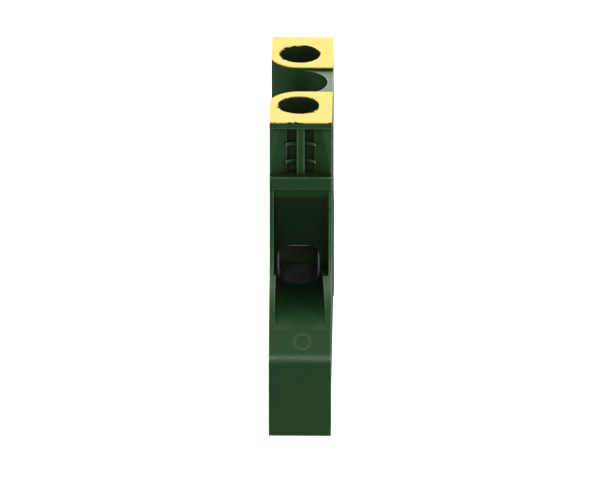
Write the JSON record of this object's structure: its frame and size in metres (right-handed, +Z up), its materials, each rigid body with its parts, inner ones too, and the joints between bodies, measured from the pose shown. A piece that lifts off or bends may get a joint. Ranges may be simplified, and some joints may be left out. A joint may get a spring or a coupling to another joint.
{
  "type": "din rail earth terminal block",
  "caption": "Slim two-ended screw terminal block for a 35 mm DIN rail: moulded half-shell, rising-yoke wire clamps and a metal foot that a central screw clamps to the rail.",
  "frame": {"origin": "under the middle of the foot, on the plane the block stands on", "axes": "+Z up from the rail, +Y along the conductors, +X along the rail towards the closed side wall"},
  "size_m": [0.008, 0.0442, 0.04],
  "materials": {
    "polyamide": "moulded dark green polyamide with a fine satin skin; the pads on the deck are stamped yellow",
    "tinned_copper": "tin-plated copper, satin",
    "plated_steel": "zinc-plated steel, satin",
    "screw_steel": "zinc-plated steel, bright",
    "spring_steel": "blued spring steel"
  },
  "bodies": {
    "block": {"housing": "polyamide", "current_bar": "tinned_copper", "contact_foot": "tinned_copper", "flat_washer": "plated_steel", "spring_washer": "spring_steel"},
    "front_screw": {"clamp_screw_front": "screw_steel"},
    "front_yoke": {"clamp_yoke_front": "plated_steel"},
    "rear_screw": {"clamp_screw_rear": "screw_steel"},
    "rear_yoke": {"clamp_yoke_rear": "plated_steel"},
    "rail_screw": {"fixing_screw": "screw_steel"},
    "rail_wedge": {"wedge_nut": "plated_steel"},
    "rail_jaw": {"clamp_jaw": "plated_steel"}
  },
  "joints": [
    {"name": "front_screw_turn", "type": "hinge", "parent": "block", "child": "front_screw", "pos_m": [-0.0003, -0.00755, 0.03], "axis": [0, 0, -1], "range_deg": [0, 2469]},
    {"name": "front_yoke_rise", "type": "slide", "parent": "block", "child": "front_yoke", "axis": [0, 0, 1], "range_m": [0, 0.0048]},
    {"name": "rear_screw_turn", "type": "hinge", "parent": "block", "child": "rear_screw", "pos_m": [-0.0003, 0.00755, 0.03], "axis": [0, 0, -1], "range_deg": [0, 2469]},
    {"name": "rear_yoke_rise", "type": "slide", "parent": "block", "child": "rear_yoke", "axis": [0, 0, 1], "range_m": [0, 0.0048]},
    {"name": "rail_screw_turn", "type": "hinge", "parent": "block", "child": "rail_screw", "pos_m": [-0.0003, 0, 0.02], "axis": [0, 0, -1], "range_deg": [0, 1080]},
    {"name": "rail_wedge_rise", "type": "slide", "parent": "block", "child": "rail_wedge", "axis": [0, 0, 1], "range_m": [0, 0.0018]},
    {"name": "rail_jaw_close", "type": "slide", "parent": "block", "child": "rail_jaw", "axis": [0, 1, 0], "range_m": [0, 0.0018]}
  ],
  "couplings": [
    {"joint": "front_screw_turn", "follows": "front_yoke_rise", "rad_per_m": 8976},
    {"joint": "rear_screw_turn", "follows": "rear_yoke_rise", "rad_per_m": 8976},
    {"joint": "rail_screw_turn", "follows": "rail_wedge_rise", "rad_per_m": 10472},
    {"joint": "rail_jaw_close", "follows": "rail_wedge_rise", "ratio": 1}
  ]
}
